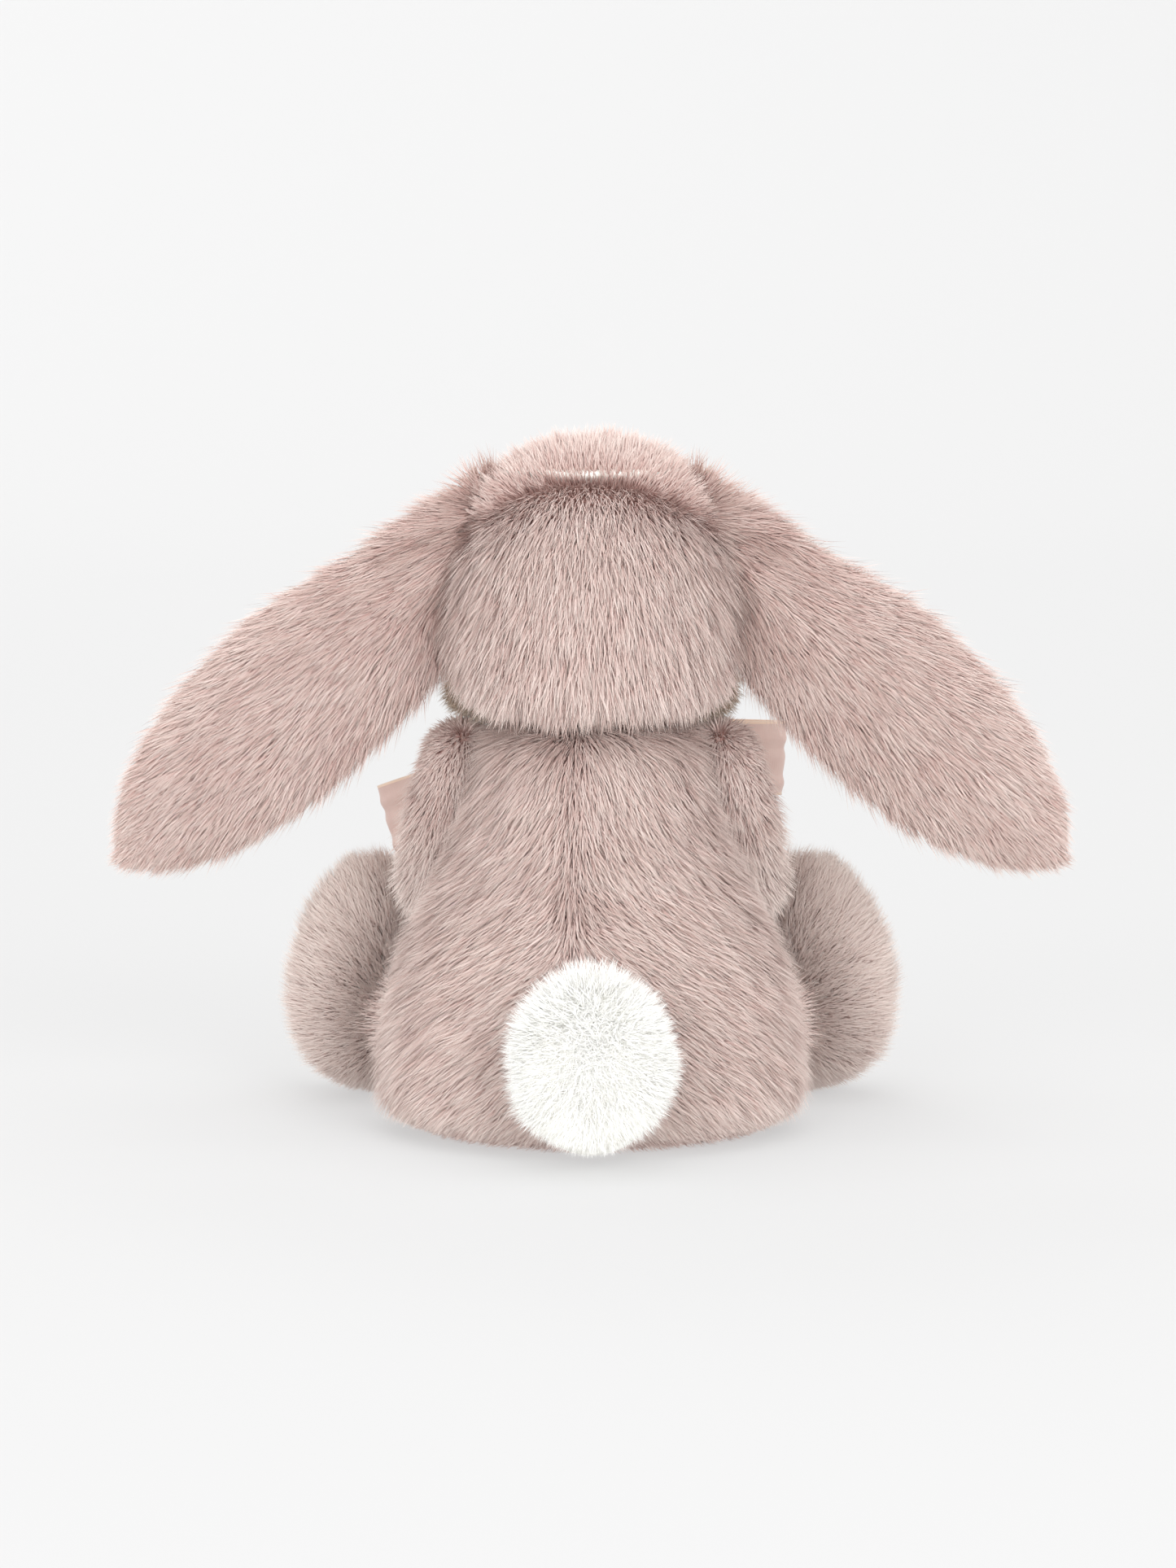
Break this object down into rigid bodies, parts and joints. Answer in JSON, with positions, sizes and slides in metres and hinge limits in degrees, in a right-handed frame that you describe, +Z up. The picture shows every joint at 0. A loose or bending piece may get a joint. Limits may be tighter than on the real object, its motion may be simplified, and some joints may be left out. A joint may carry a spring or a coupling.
{
  "type": "stuffed bunny rabbit",
  "caption": "Seated lop-eared plush rabbit with long tipped fur, a white pompom tail and a satin bow at the neck; head, ears, arms, legs, tail and bow move.",
  "frame": {"origin": "middle of the flat seat on the floor, under the axis of torso and head", "axes": "+Z up, the face looks along -Y, +X is the rabbit's own left"},
  "size_m": [0.2184, 0.1457, 0.152],
  "materials": {
    "fur_rose": "long tipped plush pile",
    "fur_cream": "cream plush pile",
    "fur_white": "white plush pile",
    "stuffing_white": "loose polyester fibre",
    "pouch_cotton": "plain woven cotton",
    "bean_plastic": "polyethylene beads",
    "satin_ribbon": "satin weave",
    "thread_rose": "embroidery thread",
    "eye_gloss": "polished",
    "washer_plastic": "moulded",
    "sole_velour": "short velour"
  },
  "bodies": {
    "torso": {"torso_stuffing": "stuffing_white", "seat_panel": "fur_rose", "belly_panel": "fur_rose", "back_panel_left": "fur_rose", "back_panel_right": "fur_rose", "bean_pouch": "pouch_cotton", "plastic_beans": "bean_plastic", "ribbon_band": "satin_ribbon"},
    "bow": {"bow_knot": "satin_ribbon", "bow_loop_left": "satin_ribbon", "bow_loop_right": "satin_ribbon", "ribbon_tail_left": "satin_ribbon", "ribbon_tail_right": "satin_ribbon"},
    "neck": {"neck_stuffing": "stuffing_white"},
    "head": {"head_stuffing": "stuffing_white", "head_back_panel": "fur_rose", "head_face_panel": "fur_rose", "muzzle_panel": "fur_cream", "nose": "thread_rose", "mouth_stitch": "thread_rose", "eye_left": "eye_gloss", "eye_right": "eye_gloss", "eye_washer_left": "washer_plastic", "eye_washer_right": "washer_plastic"},
    "tail": {"tail_pompom": "fur_white", "tail_stuffing": "stuffing_white"},
    "ear_left": {"ear_back_left": "fur_rose", "ear_lining_left": "fur_cream"},
    "arm_left": {"arm_outer_panel_left": "fur_rose", "arm_inner_panel_left": "fur_rose", "arm_stuffing_left": "stuffing_white"},
    "leg_left": {"leg_cover_left": "fur_rose", "sole_panel_left": "sole_velour", "leg_stuffing_left": "stuffing_white"},
    "ear_right": {"ear_back_right": "fur_rose", "ear_lining_right": "fur_cream"},
    "arm_right": {"arm_outer_panel_right": "fur_rose", "arm_inner_panel_right": "fur_rose", "arm_stuffing_right": "stuffing_white"},
    "leg_right": {"leg_cover_right": "fur_rose", "sole_panel_right": "sole_velour", "leg_stuffing_right": "stuffing_white"}
  },
  "joints": [
    {"name": "neck_turn", "type": "hinge", "parent": "torso", "child": "neck", "pos_m": [0, 0, 0.094], "axis": [0, 0, 1], "range_deg": [-25, 25]},
    {"name": "head_nod", "type": "hinge", "parent": "neck", "child": "head", "pos_m": [0, 0, 0.094], "axis": [1, 0, 0], "range_deg": [-20, 3]},
    {"name": "ear_left_lift", "type": "hinge", "parent": "head", "child": "ear_left", "pos_m": [0.035, 0.001, 0.127], "axis": [0, -1, 0], "range_deg": [-4, 55]},
    {"name": "ear_right_lift", "type": "hinge", "parent": "head", "child": "ear_right", "pos_m": [-0.035, 0.001, 0.127], "axis": [0, 1, 0], "range_deg": [-4, 55]},
    {"name": "arm_left_lift", "type": "hinge", "parent": "torso", "child": "arm_left", "pos_m": [0.027, -0.01, 0.078], "axis": [0, -1, 0], "range_deg": [0, 30]},
    {"name": "arm_right_lift", "type": "hinge", "parent": "torso", "child": "arm_right", "pos_m": [-0.027, -0.01, 0.078], "axis": [0, 1, 0], "range_deg": [0, 30]},
    {"name": "leg_left_swing", "type": "hinge", "parent": "torso", "child": "leg_left", "pos_m": [0.03451, -0.02697, 0.019], "axis": [-1, 0, 0], "range_deg": [-25, 9]},
    {"name": "leg_right_swing", "type": "hinge", "parent": "torso", "child": "leg_right", "pos_m": [-0.03451, -0.02697, 0.019], "axis": [-1, 0, 0], "range_deg": [-25, 9]},
    {"name": "tail_wag", "type": "hinge", "parent": "torso", "child": "tail", "pos_m": [0, 0.043, 0.0225], "axis": [0, 0, 1], "range_deg": [-12, 12]},
    {"name": "bow_flip", "type": "hinge", "parent": "torso", "child": "bow", "pos_m": [0, -0.021, 0.0805], "axis": [-1, 0, 0], "range_deg": [0, 12]}
  ]
}
